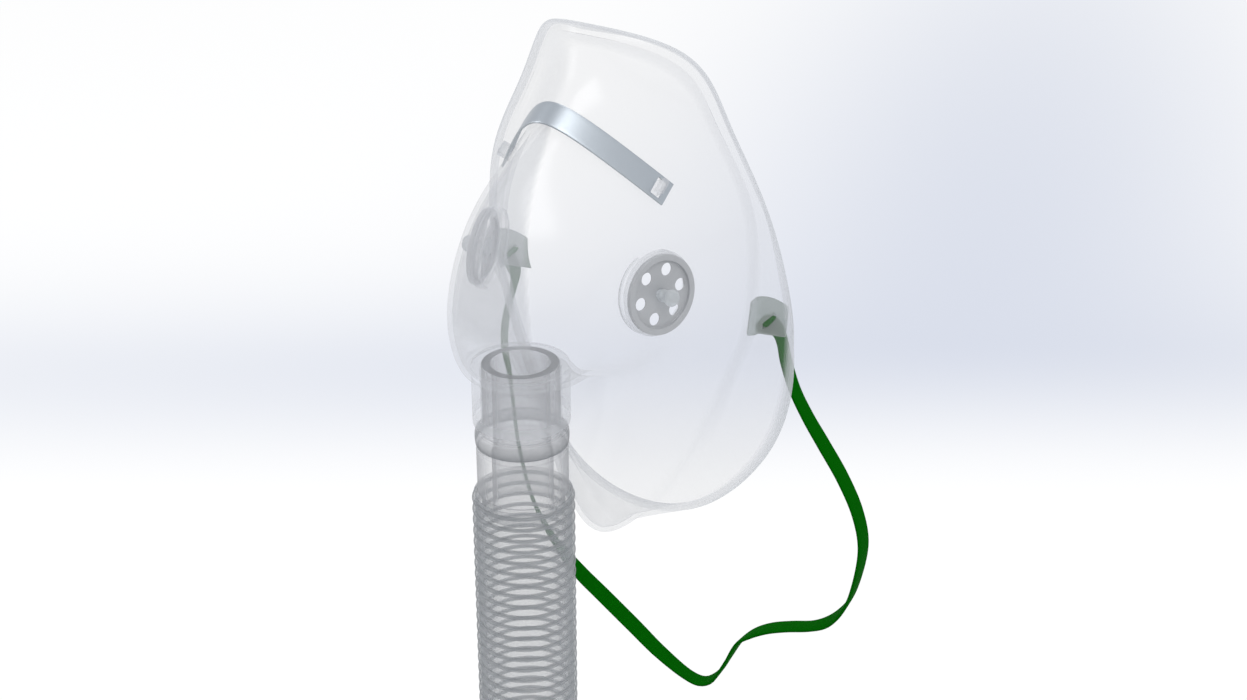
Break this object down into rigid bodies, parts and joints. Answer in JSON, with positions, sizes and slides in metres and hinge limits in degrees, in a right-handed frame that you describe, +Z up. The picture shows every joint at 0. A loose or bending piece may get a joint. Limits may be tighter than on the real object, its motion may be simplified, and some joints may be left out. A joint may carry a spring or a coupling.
{
  "type": "oxygen face mask",
  "caption": "Clear oxygen face mask with a nose clip, vented discs on both cheeks, a green elastic head strap and a ribbed hose on a swivel connector.",
  "frame": {"origin": "middle of the face seal, level with the top of the port: where the wearer's face holds the mask", "axes": "+Z up the face, -Y ahead of the face, +X towards the wearer's left"},
  "size_m": [0.1115, 0.0772, 0.2802],
  "materials": {
    "soft_pvc_clear": "clear soft PVC, glossy",
    "rigid_plastic_grey": "translucent grey, satin",
    "soft_pvc_smoky": "translucent grey-green, satin",
    "soft_aluminium": "satin strip",
    "green_elastic": "dark green woven elastic",
    "hose_pvc_grey": "translucent grey, ribbed",
    "cuff_eva_grey": "smooth, matt"
  },
  "bodies": {
    "mask": {"mask_shell": "soft_pvc_clear", "nose_clip": "soft_aluminium", "vent_disc_left": "rigid_plastic_grey", "vent_disc_right": "rigid_plastic_grey", "vent_stud_left": "soft_pvc_clear", "vent_stud_right": "soft_pvc_clear", "strap_lug_left": "soft_pvc_smoky", "strap_lug_right": "soft_pvc_smoky", "head_strap": "green_elastic"},
    "swivel": {"swivel_connector": "rigid_plastic_grey", "corrugated_hose": "hose_pvc_grey", "hose_cuff": "cuff_eva_grey"}
  },
  "joints": [
    {"name": "port_swivel", "type": "hinge", "parent": "mask", "child": "swivel", "pos_m": [0, -0.045, 0], "axis": [0, 0, 1], "continuous": true}
  ]
}
